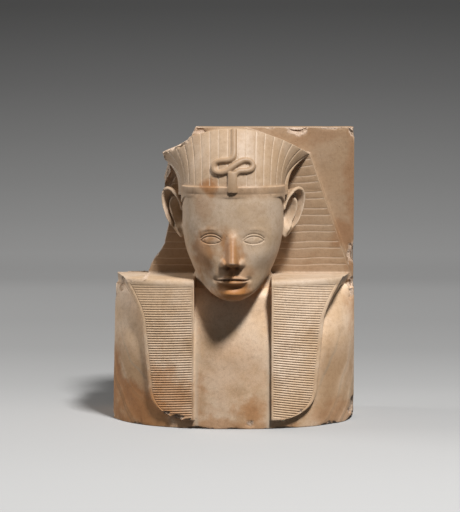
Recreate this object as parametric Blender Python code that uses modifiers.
"""Royal bust with a striped headcloth, carved from one block of limestone.

The block's back is left as a plain slab. Shoulders, headcloth and head stand forward of the slab's face,
so most depths below are forward distances, measured from that face towards the viewer.
Metres, +Z up, the face looks along -Y, the origin is under the middle of the block.
"""

import math

import bmesh
import bpy
import numpy as np
from mathutils import Vector

# Block
BLOCK_WIDTH = 0.388
BLOCK_HEIGHT = 0.467
BLOCK_DEPTH = 0.265
SLAB_THICKNESS = 0.0725
EDGE_WEAR = 0.0025
SIDE_LEAN = 0.012  # how far the left side leans in, from the foot to the top
SPARE = 0.02  # how far rough forms run past the planes that trim them
SLAB_OVERLAP = 0.003  # how far the shoulders' ends run into the slab

# Shoulders and chest
SHOULDER_HEIGHT = 0.217
SHOULDER_RADIUS = 0.015
CHEST_FORWARD = 0.133
CHEST_HOLLOW = 0.020  # how far the chest falls back towards the throat
CHEST_BREAK = 0.105  # height where it starts to fall back
THROAT_RISE = 0.033  # from the shoulders' height up to the throat
THROAT_HEIGHT = SHOULDER_HEIGHT + THROAT_RISE
SHOULDER_LEAN = 0.028  # how far the outer shoulders lean back at their top
LEAN_START = 0.120  # height where they start to lean
LEAN_SPAN = (0.070, 0.140)  # between these half widths the lean sets in
PLAN_HALF_WIDTH = 0.199
PLAN_POWER = 2.2
NECK_RADIUS = 0.056
NECK_FORWARD = 0.055  # middle of the neck
NECK_DROP = 0.042  # how far the neck runs down into the chest
NECK_FOOT = SHOULDER_HEIGHT - NECK_DROP
NECK_FLARE = 0.014  # how far the neck spreads to the sides at the shoulders

# Lappets, the pleated tails of the headcloth on the chest
LAPPET_FORWARD = 0.1370
LAPPET_THICKNESS = 0.026
LAPPET_INNER = 0.0600
LAPPET_FOOT = 0.0135  # height of the lower end
LAPPET_END = 0.054  # height of the rounded end
LAPPET_END_POWER = 2.3
LAPPET_WAIST = 0.132  # half width at the outer edge, above the rounded end
LAPPET_DRIFT = 0.1  # how much the half width grows with each metre of height
LAPPET_SWEEP = 0.0245  # how far the outer edge sweeps out at the shoulder
LAPPET_SWEEP_START = 0.170
LAPPET_SWEEP_POWER = 1.5
LAPPET_TOP_FLARE = 0.0145  # how much wider the cloth is where it meets the side panel
LAPPET_TOP_RADIUS = 0.010
LAPPET_LIFT = 0.0165  # how far the cloth lies above the shoulder
LAPPET_TOP = SHOULDER_HEIGHT + LAPPET_LIFT
LAPPET_PLAN_SPARE = 0.004  # how much wider the cloth's plan is than the shoulders'
PLEAT_PITCH = 0.0038
PLEAT_DEPTH = 0.0010

# Head: thirds from chin to nose, nose to brow, and brow to headband
CHIN_HEIGHT = 0.2015
FACE_THIRD = 0.054
HEAD_HALF_WIDTH = 0.079
HEAD_RISE = 0.2285  # from the chin up to the crown, which the headcloth hides
HEAD_CROWN = CHIN_HEIGHT + HEAD_RISE
HEAD_FORWARD = 0.1655  # the face's own plane, before the nose
EAR_LINE_FORWARD = 0.075
HEAD_LEAN = 0.008  # how far the face falls back from chin to headband
NOSE_TRIM = 0.0018  # how much of the nose's tip the block's front face takes off
NOSE_RISE = BLOCK_DEPTH - SLAB_THICKNESS - HEAD_FORWARD + HEAD_LEAN / 3 + NOSE_TRIM
NOSE_LINE_WIDTH = 0.0075
NOSE_TIP_SPREAD = 0.0050
WING_OUT = 0.0112
WING_RADIUS = 0.0066
MOUTH_HALF_WIDTH = 0.0255
UPPER_LIP = 0.0042
LOWER_LIP = 0.0048
BALL_RISE = 0.0064
SOCKET_DEPTH = 0.0072
UPPER_LID = 0.0060  # from the eye's middle up to the upper lid's edge
LOWER_LID = 0.0042

# Side panels of the headcloth, low on the slab
PANEL_FORWARD = 0.020
PANEL_FLANK = 0.006
PANEL_LAP = 0.001  # how far the panels run down into the lappets
PANEL_FOOT = LAPPET_TOP - PANEL_LAP
TIP_HALF_WIDTH = 0.1225
TIP_RISE = 0.0625  # from the headband's foot up to the headcloth's tips

# Crown of the headcloth
HOOD_LAP = 0.0015  # how far the headcloth laps over the brow's third
HOOD_FOOT = CHIN_HEIGHT + 3 * FACE_THIRD - HOOD_LAP
TIP_HEIGHT = HOOD_FOOT + TIP_RISE
HOOD_BASE_HALF_WIDTH = 0.080
HOOD_BASE_FORWARD = 0.157
HOOD_RIM_FORWARD = 0.085
HOOD_TOP_FORWARD = 0.118
RIM_WIDTH = 0.006
RIM_DEPTH = 0.010
BAND_HEIGHT = 0.0165
BAND_PROUD = 0.0015
BAND_TAB = 0.010  # how much lower the band reaches before the ears
CROWN_SWEEP = math.radians(88)
CROWN_POWER = 1.85
CROWN_TRIM = 0.0005  # how far the crown stays under the block's top
STRIPE_COUNT = 17
STRIPE_GROOVE = 0.0010

# Ears
EAR_HEIGHT = 0.080
EAR_WIDTH = 0.037
EAR_RISE = 0.133  # from the chin up to the ear's middle
EAR_MIDDLE_HEIGHT = CHIN_HEIGHT + EAR_RISE
EAR_SLANT = 0.012
EAR_GAP = 0.0125  # from the head's side to the ear's middle
EAR_FORWARD = 0.0625
EAR_YAW = math.radians(38)

# Cobra
COBRA_RADIUS = 0.0051
COBRA_SUNK = 0.0003  # how far the bar's middle lies under the cloth
COBRA_HOOD_WIDTH = 0.0145
COBRA_HOOD_PROUD = 0.0055
COBRA_HOOD_DROP = 0.0075  # its lower end, above the headcloth's foot
COBRA_HOOD_RISE = 0.0390
COBRA_HOOD_SPAN = (HOOD_FOOT + COBRA_HOOD_DROP, HOOD_FOOT + COBRA_HOOD_RISE)

SLAB_FACE = BLOCK_DEPTH / 2 - SLAB_THICKNESS
INSIDE_SLAB = SLAB_FACE + SLAB_THICKNESS / 4

BREAK_DROP = 0.0065  # how far the break's foot lies under the shoulder and the cloth

# The broken side of the slab and panel, seen from the front, as (x, z)
BREAK_OUTLINE = (
    (-0.1790, SHOULDER_HEIGHT - BREAK_DROP),
    (-0.1760, LAPPET_TOP - BREAK_DROP),
    (-0.1385, LAPPET_TOP - BREAK_DROP),
    (-0.1340, 0.2440),
    (-0.1275, 0.2553),
    (-0.1220, 0.2610),
    (-0.1108, 0.2800),
    (-0.1070, 0.3000),
    (-0.1040, 0.3120),
    (-0.1060, 0.3450),
    (-0.1110, 0.3700),
    (-0.1120, 0.3870),
    (-0.1090, 0.3990),
    (-0.1060, 0.4100),
    (-0.1135, 0.4265),
    (-0.0900, 0.4365),
    (-0.0715, 0.4470),
    (-0.0675, 0.4520),
    (-0.0615, BLOCK_HEIGHT + 0.001),
)

# The cobra's body on the headcloth, from the crown down to its hood, as (x, z)
COBRA_PATH = (
    (0.0020, 0.4650),
    (0.0020, 0.4490),
    (0.0020, 0.4290),
    (-0.0006, 0.4213),
    (-0.0075, 0.4180),
    (-0.0165, 0.4172),
    (-0.0250, 0.4148),
    (-0.0288, 0.4080),
    (-0.0262, 0.4012),
    (-0.0185, 0.3990),
    (-0.0095, 0.4018),
    (-0.0010, 0.4080),
    (0.0080, 0.4140),
    (0.0175, 0.4180),
    (0.0262, 0.4168),
    (0.0308, 0.4105),
    (0.0280, 0.4045),
    (0.0195, 0.4020),
    (0.0100, 0.4015),
    (0.0030, 0.3965),
)


def smooth_step(low, high, value):
    """0 below low, 1 above high and an even rise between."""
    share = np.clip((value - low) / (high - low), 0, 1)
    return share * share * (3 - 2 * share)


def bump(distance, radius, power=2.0):
    """A round rise of 1 at no distance that fades out past the radius."""
    return np.exp(-np.abs(distance / radius) ** power)


def clear_scene():
    for obj in list(bpy.data.objects):
        bpy.data.objects.remove(obj)


def new_collection(name, hidden=False):
    collection = bpy.data.collections.new(name)
    bpy.context.scene.collection.children.link(collection)
    collection.hide_render = hidden
    return collection


def new_object(name, mesh_tool, collection):
    """The bmesh as an object in the collection, its faces turned outwards."""
    bmesh.ops.recalc_face_normals(mesh_tool, faces=mesh_tool.faces)
    mesh = bpy.data.meshes.new(name)
    mesh_tool.to_mesh(mesh)
    mesh_tool.free()
    obj = bpy.data.objects.new(name, mesh)
    collection.objects.link(obj)
    return obj


def relief_solid(name, columns, rows, front, back, collection):
    """A closed solid between two like grids. front and back take u and v in -1 to 1 and give x, y and z."""
    mesh_tool = bmesh.new()
    bmesh.ops.create_grid(mesh_tool, x_segments=columns, y_segments=rows, size=1)
    u = np.array([vertex.co.x for vertex in mesh_tool.verts])
    v = np.array([vertex.co.y for vertex in mesh_tool.verts])
    front_points = np.stack(np.broadcast_arrays(*front(u, v)), 1)
    back_points = np.stack(np.broadcast_arrays(*back(u, v)), 1)
    front_verts = list(mesh_tool.verts)
    made = bmesh.ops.extrude_face_region(mesh_tool, geom=list(mesh_tool.faces), use_keep_orig=True)
    new_verts = [item for item in made["geom"] if isinstance(item, bmesh.types.BMVert)]
    place = {(round(a, 6), round(b, 6)): k for k, (a, b) in enumerate(zip(u, v))}
    for vertex in new_verts:
        key = (round(vertex.co.x, 6), round(vertex.co.y, 6))
        vertex.co = back_points[place[key]]
    for vertex, point in zip(front_verts, front_points):
        vertex.co = point
    return new_object(name, mesh_tool, collection)


def box(name, low, high, collection):
    mesh_tool = bmesh.new()
    bmesh.ops.create_cube(mesh_tool, size=1)
    low, high = Vector(low), Vector(high)
    bmesh.ops.scale(mesh_tool, vec=high - low, verts=mesh_tool.verts)
    bmesh.ops.translate(mesh_tool, vec=(low + high) / 2, verts=mesh_tool.verts)
    return new_object(name, mesh_tool, collection)


def apply_boolean(obj, operation, other):
    """Adds the Boolean as a modifier, so that the carving order can be read off the stack."""
    modifier = obj.modifiers.new(f"{operation.title()} {other.name}", "BOOLEAN")
    modifier.operation = operation
    modifier.object = other
    other.hide_render = True
    other.display_type = "WIRE"


def slab(collection):
    half = BLOCK_WIDTH / 2 + SPARE
    return box(
        "slab",
        (-half, SLAB_FACE, -SPARE),
        (half, BLOCK_DEPTH / 2 + SPARE, BLOCK_HEIGHT + SPARE),
        collection,
    )


def block_envelope(collection):
    """The sawn block, which trims what stands outside its six planes. Its long edges are a little worn."""
    half = BLOCK_WIDTH / 2
    depth = BLOCK_DEPTH / 2
    envelope = box("block_envelope", (-half, -depth, 0), (half, depth, BLOCK_HEIGHT), collection)
    for vertex in envelope.data.vertices:
        if vertex.co.x < 0 and vertex.co.z > 0:
            vertex.co.x += SIDE_LEAN
    wear = envelope.modifiers.new("Worn edges", "BEVEL")
    wear.width = EDGE_WEAR
    wear.segments = 2
    return envelope


def break_cutter(collection):
    """What is lost of the slab: its outline from the front, drawn through the block."""
    curve = bpy.data.curves.new("break", "CURVE")
    curve.dimensions = "2D"
    curve.fill_mode = "BOTH"
    curve.extrude = SLAB_THICKNESS + PANEL_FORWARD + SPARE
    left = -BLOCK_WIDTH
    top = BLOCK_HEIGHT + 2 * SPARE
    last_x = BREAK_OUTLINE[-1][0]
    points = [(left, BREAK_OUTLINE[0][1]), *BREAK_OUTLINE, (last_x, top), (left, top)]
    spline = curve.splines.new("POLY")
    spline.points.add(len(points) - 1)
    spline.use_cyclic_u = True
    for point, (x, z) in zip(spline.points, points):
        point.co = (x, z, 0, 1)
    drawn = bpy.data.objects.new("break_drawing", curve)
    collection.objects.link(drawn)
    drawn.rotation_euler = (math.pi / 2, 0, 0)
    drawn.location = (0, SLAB_FACE, 0)
    return curve_as_mesh(drawn, "break", collection)


def curve_as_mesh(drawn, name, collection):
    """The curve object's shape as a closed mesh object. The curve is removed."""
    bpy.context.view_layer.update()
    evaluated = drawn.evaluated_get(bpy.context.evaluated_depsgraph_get())
    mesh = bpy.data.meshes.new_from_object(evaluated)
    mesh_tool = bmesh.new()
    mesh_tool.from_mesh(mesh)
    bmesh.ops.remove_doubles(mesh_tool, verts=mesh_tool.verts, dist=1e-6)
    obj = new_object(name, mesh_tool, collection)
    obj.matrix_world = drawn.matrix_world.copy()
    bpy.data.objects.remove(drawn)
    bpy.data.meshes.remove(mesh)
    return obj


def plan_share(x, half_width):
    """How far the rounded plan stands forward at x: 1 in the middle and 0 at the side."""
    share = np.clip(np.abs(x) / half_width, 0, 1)
    return (1 - share**PLAN_POWER) ** (1 / PLAN_POWER)


def plan_x(u):
    """x for u in -1 to 1, closer together towards the sides, where the plan turns back."""
    turn = np.abs(np.sin(u * math.pi / 2)) ** (2 / PLAN_POWER)
    return np.sign(u) * turn * PLAN_HALF_WIDTH


def over_shoulder(row, climb_rows, turn_rows, foot, top, radius):
    """Height and setback at a row of a grid that climbs the chest and turns back at the shoulder's edge."""
    straight = np.clip(row / climb_rows, 0, 1)
    turn = np.clip((row - climb_rows) / turn_rows, 0, 1) * math.pi / 2
    height = foot + (top - radius - foot) * straight + radius * np.sin(turn)
    return height, radius * (1 - np.cos(turn))


def torso(collection):
    """Chest and shoulders: a rounded plan that falls back towards the throat and turns over at the top."""
    columns, climb_rows, turn_rows = 28, 9, 4

    def chest(u, v):
        x = plan_x(u)
        row = (v + 1) / 2 * (climb_rows + turn_rows)
        z, setback = over_shoulder(
            row, climb_rows, turn_rows, -SPARE, SHOULDER_HEIGHT, SHOULDER_RADIUS
        )
        hollow = CHEST_HOLLOW * smooth_step(CHEST_BREAK, THROAT_HEIGHT, z)
        climbed = np.clip((z - LEAN_START) / (SHOULDER_HEIGHT - LEAN_START), 0, 1)
        lean = SHOULDER_LEAN * climbed**2 * smooth_step(*LEAN_SPAN, np.abs(x))
        forward = (CHEST_FORWARD - hollow - lean - setback) * plan_share(x, PLAN_HALF_WIDTH)
        return x, SLAB_FACE - forward + SLAB_OVERLAP, z

    def inside(u, v):
        x, _, z = chest(u, v)
        return x, INSIDE_SLAB, z

    return relief_solid("torso", columns, climb_rows + turn_rows, chest, inside, collection)


def lappet_outer(z):
    """Half width at the outer edge: a rounded end, a straight waist, then a sweep out over the shoulder."""
    share = np.clip((z - LAPPET_FOOT) / LAPPET_END, 0.02, 1)
    end = (1 - (1 - share) ** LAPPET_END_POWER) ** (1 / LAPPET_END_POWER)
    waist = LAPPET_INNER + (LAPPET_WAIST - LAPPET_INNER) * end
    drift = LAPPET_DRIFT * np.clip(z - LAPPET_FOOT - LAPPET_END, 0, None)
    swept = np.clip((z - LAPPET_SWEEP_START) / (LAPPET_TOP - LAPPET_SWEEP_START), 0, 1)
    return waist + drift + LAPPET_SWEEP * swept**LAPPET_SWEEP_POWER


def lappet(side, collection):
    """One pleated tail: up the chest, over the shoulder and back to the side panel."""
    pleats = round((LAPPET_TOP - LAPPET_TOP_RADIUS - LAPPET_FOOT) / PLEAT_PITCH)
    climb_rows, turn_rows, back_rows = 2 * pleats, 3, 3
    rows = climb_rows + turn_rows + back_rows

    def cloth(u, v):
        row = np.round((v + 1) / 2 * rows)
        z, setback = over_shoulder(
            row, climb_rows, turn_rows, LAPPET_FOOT, LAPPET_TOP, LAPPET_TOP_RADIUS
        )
        run_back = np.clip((row - climb_rows - turn_rows) / back_rows, 0, 1)
        outer = lappet_outer(z) + LAPPET_TOP_FLARE * run_back**0.7
        x = LAPPET_INNER + (outer - LAPPET_INNER) * (u + 1) / 2
        reach = plan_share(x, PLAN_HALF_WIDTH + LAPPET_PLAN_SPARE)
        is_groove = (row % 2 == 0) & (row > 0) & (row <= climb_rows) & (np.abs(u) < 0.999)
        forward = (LAPPET_FORWARD - setback) * reach - np.where(is_groove, PLEAT_DEPTH, 0)
        forward = forward + (PANEL_FORWARD / 2 - forward) * run_back
        return side * x, SLAB_FACE - forward, z

    def lining(u, v):
        x, y, z = cloth(u, v)
        reach = LAPPET_FORWARD * plan_share(np.abs(x), PLAN_HALF_WIDTH)
        deep = np.maximum(reach - CHEST_HOLLOW - LAPPET_THICKNESS, -LAPPET_THICKNESS)
        sunk = LAPPET_FOOT + (z - LAPPET_FOOT) * (1 - LAPPET_THICKNESS / (LAPPET_TOP - LAPPET_FOOT))
        return x * 0.99, np.maximum(y, SLAB_FACE - deep), sunk

    return relief_solid(f"lappet_{side:+d}", 4, rows, cloth, lining, collection)


def panel_edge(z):
    """Half width of a side panel at height z, from the tip out to the shoulder."""
    share = (TIP_HEIGHT - z) / (TIP_HEIGHT - PANEL_FOOT)
    foot_half_width = BLOCK_WIDTH / 2 - PANEL_FLANK
    return TIP_HALF_WIDTH + (foot_half_width - TIP_HALF_WIDTH) * share


def panels(collection):
    """The headcloth's flat sides: one sheet a little forward of the slab, its edges sloping."""
    columns = 4

    def cloth(u, v):
        z = PANEL_FOOT - SPARE + (TIP_HEIGHT - PANEL_FOOT + SPARE) * (v + 1) / 2
        on_flank = np.abs(u) > 0.999
        edge = panel_edge(z)
        flank = PANEL_FLANK * smooth_step(TIP_HEIGHT + 0.03, PANEL_FOOT, z)
        x = np.where(on_flank, u * (edge + flank), u * columns / (columns - 2) * edge)
        return x, SLAB_FACE - np.where(on_flank, -0.002, PANEL_FORWARD), z

    def inside(u, v):
        x, _, z = cloth(u, v)
        return x, INSIDE_SLAB, z

    return relief_solid("panels", columns, 8, cloth, inside, collection)


def hood_top(share):
    """Height of the crown's upper edge, from the middle (0) to the tip (1)."""
    crown = BLOCK_HEIGHT - CROWN_TRIM
    return crown - (crown - TIP_HEIGHT) * share**CROWN_POWER


def hood_point(u, v):
    """The crown's cloth. u runs from rim to rim and v from the headband up, both in -1 to 1."""
    share, rise = np.abs(u), (v + 1) / 2
    angle = share * CROWN_SWEEP
    base_x = HOOD_BASE_HALF_WIDTH * np.sin(angle)
    base_forward = HOOD_RIM_FORWARD + (HOOD_BASE_FORWARD - HOOD_RIM_FORWARD) * np.cos(angle)
    top_x = TIP_HALF_WIDTH * share
    top_forward = HOOD_TOP_FORWARD + (PANEL_FORWARD - 0.001 - HOOD_TOP_FORWARD) * share**2
    x = base_x + (top_x - base_x) * rise**3
    forward = base_forward + (top_forward - base_forward) * rise**1.8
    z = HOOD_FOOT + (hood_top(share) - HOOD_FOOT) * rise
    return np.sign(u) * x, forward, z


def hood_forward(x, z):
    """How far forward the crown's cloth stands at (x, z), found by halving the range of its u."""
    low, high = np.zeros_like(x), np.ones_like(x)
    for _ in range(24):
        middle = (low + high) / 2
        rise = (z - HOOD_FOOT) / (hood_top(middle) - HOOD_FOOT)
        short = hood_point(middle, np.clip(2 * rise - 1, -1, 1))[0] < np.abs(x)
        low, high = np.where(short, middle, low), np.where(short, high, middle)
    rise = (z - HOOD_FOOT) / (hood_top(low) - HOOD_FOOT)
    return hood_point(low, np.clip(2 * rise - 1, -1, 1))[1]


def hood(collection):
    """The crown of the headcloth, with its incised stripes, a turned rim and an undercut side."""
    per_stripe = 2
    inner_columns = STRIPE_COUNT * per_stripe
    columns = inner_columns + 2

    def cloth(u, v):
        column = np.round((u + 1) / 2 * columns)
        inner_u = np.clip((column - 1) / inner_columns, 0, 1) * 2 - 1
        on_rim = (column == 0) | (column == columns)
        x, forward, z = hood_point(inner_u, v)
        rise = (v + 1) / 2
        groove = np.where((column - 1) % per_stripe == 0, STRIPE_GROOVE, 0)
        x = x + np.where(on_rim, np.sign(u) * RIM_WIDTH * (1 - 0.8 * rise**3), 0)
        back = np.where(on_rim, RIM_DEPTH * (1 - 0.8 * rise**2), groove)
        return x, SLAB_FACE - forward + back, z

    def inside(u, v):
        x, _, z = cloth(u, v)
        return x * 0.8, INSIDE_SLAB, z

    return relief_solid("hood", columns, 8, cloth, inside, collection)


def headband(collection):
    """The smooth band across the forehead, a little proud of the cloth above it."""

    def band(u, v):
        x, forward, _ = hood_point(u, np.full_like(v, -1.0))
        angle = u * CROWN_SWEEP
        tab = BAND_TAB * smooth_step(0.74, 0.96, np.abs(u))
        z = HOOD_FOOT - 0.0005 - tab + (BAND_HEIGHT + tab) * (v + 1) / 2
        return x + BAND_PROUD * np.sin(angle), SLAB_FACE - forward - BAND_PROUD * np.cos(angle), z

    def inside(u, v):
        x, y, z = band(u, v)
        return x * 0.85, y * 0.7, z

    return relief_solid("headband", 24, 1, band, inside, collection)


def nose(x, z):
    """Rise of the nose: a ridge that climbs to a rounded tip, and a wing on each side."""
    base = CHIN_HEIGHT + FACE_THIRD
    share = (z - base) / FACE_THIRD
    slope = np.clip(1 - (share - 0.17) * 1.12, 0.10, 1)
    under = smooth_step(-0.05, 0.17, share)
    width = NOSE_LINE_WIDTH + NOSE_TIP_SPREAD * np.clip(1 - share, 0, 1) ** 1.6
    ridge = NOSE_RISE * slope * under * bump(x, width, 2.6) * smooth_step(1.12, 0.86, share)
    wing = bump(np.hypot(np.abs(x) - WING_OUT, z - base - WING_RADIUS), WING_RADIUS, 2.6)
    return np.maximum(ridge, NOSE_RISE / 2 * wing * smooth_step(-0.06, 0.06, share))


def mouth(x, z):
    """Rise of the closed lips, with the line between them and the hollow under them."""
    line = CHIN_HEIGHT + 0.66 * FACE_THIRD
    share = np.clip(np.abs(x) / MOUTH_HALF_WIDTH, 0, 1)
    fade = np.sqrt(1 - share**2)
    muzzle = 0.0050 * bump(np.hypot(x / 0.030, (z - line) / 0.021), 1.0)
    upper = UPPER_LIP * fade * bump(z - line - UPPER_LIP, UPPER_LIP)
    lower = LOWER_LIP * fade * bump(z - line + LOWER_LIP, LOWER_LIP)
    parting = 0.0030 * bump(z - line, 0.0014) * (1 - share**4)
    corner = 0.0022 * bump(np.hypot(np.abs(x) - MOUTH_HALF_WIDTH, z - line), UPPER_LIP)
    groove = 0.0016 * bump(x, 0.0032) * bump(z - line - 0.0125, 0.0050)
    return muzzle + upper + lower - parting - corner - groove


def eyes(x, z):
    """Rise and hollow of brow, socket, eyeball and lids. Each eye is a fifth of the head wide."""
    width = 2 * HEAD_HALF_WIDTH / 5
    centre = CHIN_HEIGHT + 1.77 * FACE_THIRD
    brow = CHIN_HEIGHT + 2.06 * FACE_THIRD
    across = (np.abs(x) - width * 1.02) / (width / 2)
    up = z - centre
    arch = brow - 0.0045 * across**2
    ridge = 0.0022 * bump(z - arch, 0.0048) * smooth_step(0.004, 0.016, np.abs(x))
    ridge = ridge * smooth_step(1.9, 1.0, np.abs(across))
    socket = SOCKET_DEPTH * bump(np.hypot(across / 1.45, (up - 0.0015) / 0.0125), 1.0, 2.6)
    inner = 0.0058 * bump(np.hypot((np.abs(x) - 0.0150) / 0.0075, (up - 0.004) / 0.0115), 1.0)
    ball = BALL_RISE * bump(np.hypot(across / 1.02, up / 0.0098), 1.0, 2.4)
    lid_line = np.where(up > 0, UPPER_LID, LOWER_LID) * np.clip(1 - across**2, 0, 1) ** 0.75
    to_lid = np.abs(up) - lid_line
    near = smooth_step(1.22, 1.02, np.abs(across))
    lid = 0.0010 * bump(to_lid - 0.0006, 0.0013) * near
    opening = 0.0011 * smooth_step(0.0004, -0.0008, to_lid) * (np.abs(across) < 1)
    return ridge - socket - inner + ball + lid - opening


def face(x, z):
    """All that stands forward of, or falls behind, the plain egg of the head."""
    chin = 0.0062 * bump(np.hypot(x / 0.019, (z - CHIN_HEIGHT - 0.0125) / 0.0115), 1.0)
    fold = 0.0026 * bump(np.hypot(x / 0.020, (z - CHIN_HEIGHT - 0.0245) / 0.0045), 1.0)
    cheek = 0.0036 * bump(np.hypot((np.abs(x) - 0.041) / 0.021, (z - 0.272) / 0.021), 1.0)
    return nose(x, z) + mouth(x, z) + eyes(x, z) + chin - fold + cheek


def head_forms(z):
    """Half width, and how far forward the front, the widest line and the back are, at height z."""
    widest = CHIN_HEIGHT + 2.29 * FACE_THIRD
    share = np.clip((z - CHIN_HEIGHT) / (widest - CHIN_HEIGHT), 0, 1)
    over = np.clip((z - widest) / (HEAD_CROWN - widest), 0, 1)
    closing = (1 - over**4) ** 0.5
    half_width = HEAD_HALF_WIDTH * (1 - (1 - share) ** 2) ** 0.54 * closing
    settle = smooth_step(0, 0.5, share)
    middle = EAR_LINE_FORWARD + 0.063 * (1 - settle)
    lean = HEAD_LEAN * np.clip((z - CHIN_HEIGHT) / (3 * FACE_THIRD), 0, 1)
    under_chin = (1 - (1 - np.clip(share / 0.13, 0, 1)) ** 2) ** 0.5
    front = middle + (HEAD_FORWARD - lean - middle) * under_chin * closing
    back = 0.130 * (1 - smooth_step(0, 0.55, share)) - 0.012 * smooth_step(0.3, 0.6, share)
    return half_width, front, middle, back


def sphere_solid(name, segments, rings, shape, collection):
    """A closed solid from a sphere. shape gives x, y and z for a level, 0 to 1, and an azimuth, 0 ahead."""
    mesh_tool = bmesh.new()
    bmesh.ops.create_uvsphere(mesh_tool, u_segments=segments, v_segments=rings, radius=1)
    sphere = np.array([vertex.co for vertex in mesh_tool.verts])
    level = 1 - np.arccos(np.clip(sphere[:, 2], -1, 1)) / math.pi
    azimuth = np.arctan2(sphere[:, 0], -sphere[:, 1])
    for vertex, point in zip(mesh_tool.verts, np.stack(shape(level, azimuth), 1)):
        vertex.co = point
    return new_object(name, mesh_tool, collection)


def head(collection):
    """An egg-shaped head with more columns on the face than behind."""

    def skin(level, azimuth):
        azimuth = azimuth - 0.48 * np.sin(azimuth)
        z = CHIN_HEIGHT + (HEAD_CROWN - CHIN_HEIGHT) * level
        half_width, front, middle, back = head_forms(z)
        power = 2 / (2.0 + 0.35 * smooth_step(CHIN_HEIGHT, CHIN_HEIGHT + 2 * FACE_THIRD, z))
        x = half_width * np.sign(azimuth) * np.abs(np.sin(azimuth)) ** power
        ahead = np.abs(np.cos(azimuth)) ** power
        reach = np.where(np.cos(azimuth) > 0, front, back) - middle
        on_face = smooth_step(0.15, 0.45, np.cos(azimuth)) * smooth_step(0.0, 0.06, level)
        return x, SLAB_FACE - middle - reach * ahead - face(x, z) * on_face, z

    return sphere_solid("head", 56, 40, skin, collection)


def neck(collection):
    """A short column that spreads to the sides where it meets the shoulders."""
    top = CHIN_HEIGHT + 2 * FACE_THIRD

    def skin(level, azimuth):
        z = NECK_FOOT + (top - NECK_FOOT) * level
        close = np.sin(np.clip(level * 6, 0, 1) * np.clip((1 - level) * 6, 0, 1) * math.pi / 2)
        flare = NECK_FLARE * smooth_step(THROAT_HEIGHT + 0.010, SHOULDER_HEIGHT - 0.012, z)
        x = (NECK_RADIUS + flare) * np.sin(azimuth) * close
        forward = NECK_FORWARD + (NECK_RADIUS + flare / 4) * np.cos(azimuth) * close
        return x, SLAB_FACE - forward, z

    return sphere_solid("neck", 24, 12, skin, collection)


def ear(side, collection):
    """One ear: a slanting shell with a raised rim, a hollow and a lobe, turned to face partly forward."""

    def disc(u, v):
        return u * np.sqrt(1 - v * v / 2), v * np.sqrt(1 - u * u / 2)

    def placed(across, up, out):
        leaning = across + EAR_SLANT * up / (EAR_HEIGHT / 2)
        x = leaning * math.cos(EAR_YAW) + out * math.sin(EAR_YAW)
        forward = EAR_FORWARD - leaning * math.sin(EAR_YAW) + out * math.cos(EAR_YAW)
        return side * (HEAD_HALF_WIDTH + EAR_GAP + x), SLAB_FACE - forward, EAR_MIDDLE_HEIGHT + up

    def shell(u, v):
        s, t = disc(u, v)
        across = EAR_WIDTH / 2 * s * (1 + 0.30 * t)
        rim = 0.0055 * bump(np.hypot(s, t) - 0.90, 0.17) * smooth_step(-0.80, -0.35, t)
        bowl = 0.0110 * bump(np.hypot((s + 0.26) / 0.48, (t + 0.02) / 0.48), 1.0, 3)
        fold = 0.0040 * bump(np.hypot((s + 0.28) / 0.80, (t + 0.06) / 0.66) - 0.86, 0.22)
        fold = fold * smooth_step(-0.5, -0.1, s + 0.3 * t)
        lobe = 0.0030 * bump(np.hypot(s + 0.1, t + 0.76), 0.24)
        return placed(across, EAR_HEIGHT / 2 * t, rim - bowl + fold + lobe)

    def root(u, v):
        s, t = disc(u, v)
        across = EAR_WIDTH / 2 * (s * 0.78 - 0.28)
        return placed(across, EAR_HEIGHT / 2 * t * 0.84, np.full_like(s, -0.017))

    return relief_solid(f"ear_{side:+d}", 12, 16, shell, root, collection)


def cobra_body(collection):
    """The cobra's looped body, a round bar that lies on the headcloth."""
    curve = bpy.data.curves.new("cobra", "CURVE")
    curve.dimensions = "3D"
    curve.bevel_depth = COBRA_RADIUS
    curve.bevel_resolution = 1
    curve.use_fill_caps = True
    x, z = smooth_route(np.array(COBRA_PATH), 46).T
    y = SLAB_FACE - hood_forward(x, z) + COBRA_SUNK
    spline = curve.splines.new("POLY")
    spline.points.add(len(x) - 1)
    for point, place in zip(spline.points, zip(x, y, z)):
        point.co = (*place, 1)
    drawn = bpy.data.objects.new("cobra_drawing", curve)
    collection.objects.link(drawn)
    return curve_as_mesh(drawn, "cobra_body", collection)


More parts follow.
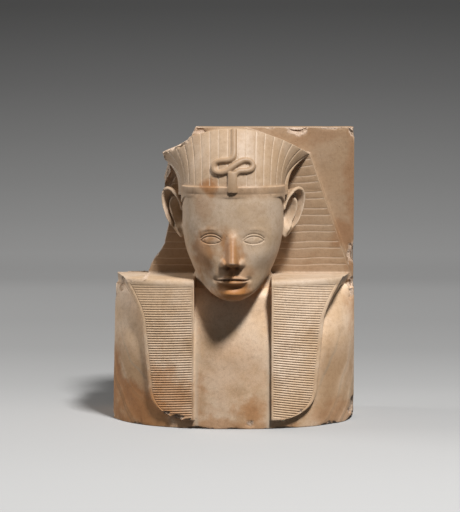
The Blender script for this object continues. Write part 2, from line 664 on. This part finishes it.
def smooth_route(points, count):
    """Even points on a Catmull-Rom curve through the given ones."""
    ends = np.vstack([2 * points[0] - points[1], points, 2 * points[-1] - points[-2]])
    shares = np.linspace(0, len(points) - 1 - 1e-9, count * 8)
    k = shares.astype(int)
    t = (shares - k)[:, None]
    a, b, c, d = ends[k], ends[k + 1], ends[k + 2], ends[k + 3]
    line = b + 0.5 * t * (c - a + t * (2 * a - 5 * b + 4 * c - d + t * (3 * (b - c) + d - a)))
    steps = np.concatenate([[0], np.cumsum(np.linalg.norm(np.diff(line, axis=0), axis=1))])
    even = np.linspace(0, steps[-1], count)
    return np.stack([np.interp(even, steps, line[:, axis]) for axis in range(2)], 1)


def cobra_hood(collection):
    """The cobra's spread hood, a short slab with a rounded front, broken off square below."""
    low, high = COBRA_HOOD_SPAN

    def front(u, v):
        x = u * COBRA_HOOD_WIDTH / 2
        z = low + (high - low) * (v + 1) / 2
        proud = COBRA_HOOD_PROUD * np.sqrt(1 - 0.6 * u * u)
        return x, SLAB_FACE - hood_forward(x, z) - proud, z

    def inside(u, v):
        x, y, z = front(u, v)
        return x, y + COBRA_HOOD_PROUD * 2.5, z

    return relief_solid("cobra_hood", 6, 4, front, inside, collection)


def stone():
    material = bpy.data.materials.new("limestone")
    material.use_nodes = True
    shader = material.node_tree.nodes["Principled BSDF"]
    shader.inputs["Base Color"].default_value = (0.52, 0.40, 0.29, 1)
    shader.inputs["Roughness"].default_value = 0.72
    shader.inputs["Metallic"].default_value = 0.0
    return material


def build():
    """One solid: slab and headcloth lose the broken side, the figure is added and the block trims it."""
    clear_scene()
    shown = new_collection("royal_bust")
    forms = new_collection("carved_forms", hidden=True)
    bust = slab(shown)
    bust.name = "royal_bust"
    apply_boolean(bust, "UNION", panels(forms))
    apply_boolean(bust, "UNION", hood(forms))
    apply_boolean(bust, "UNION", headband(forms))
    apply_boolean(bust, "DIFFERENCE", break_cutter(forms))
    figure = [torso(forms), neck(forms), head(forms)]
    figure += [make(side, forms) for make in (lappet, ear) for side in (-1, 1)]
    figure += [cobra_body(forms), cobra_hood(forms)]
    for form in figure:
        apply_boolean(bust, "UNION", form)
    apply_boolean(bust, "INTERSECT", block_envelope(forms))
    weld = bust.modifiers.new("Weld", "WELD")
    weld.merge_threshold = 0.00002
    bust.data.materials.append(stone())


build()
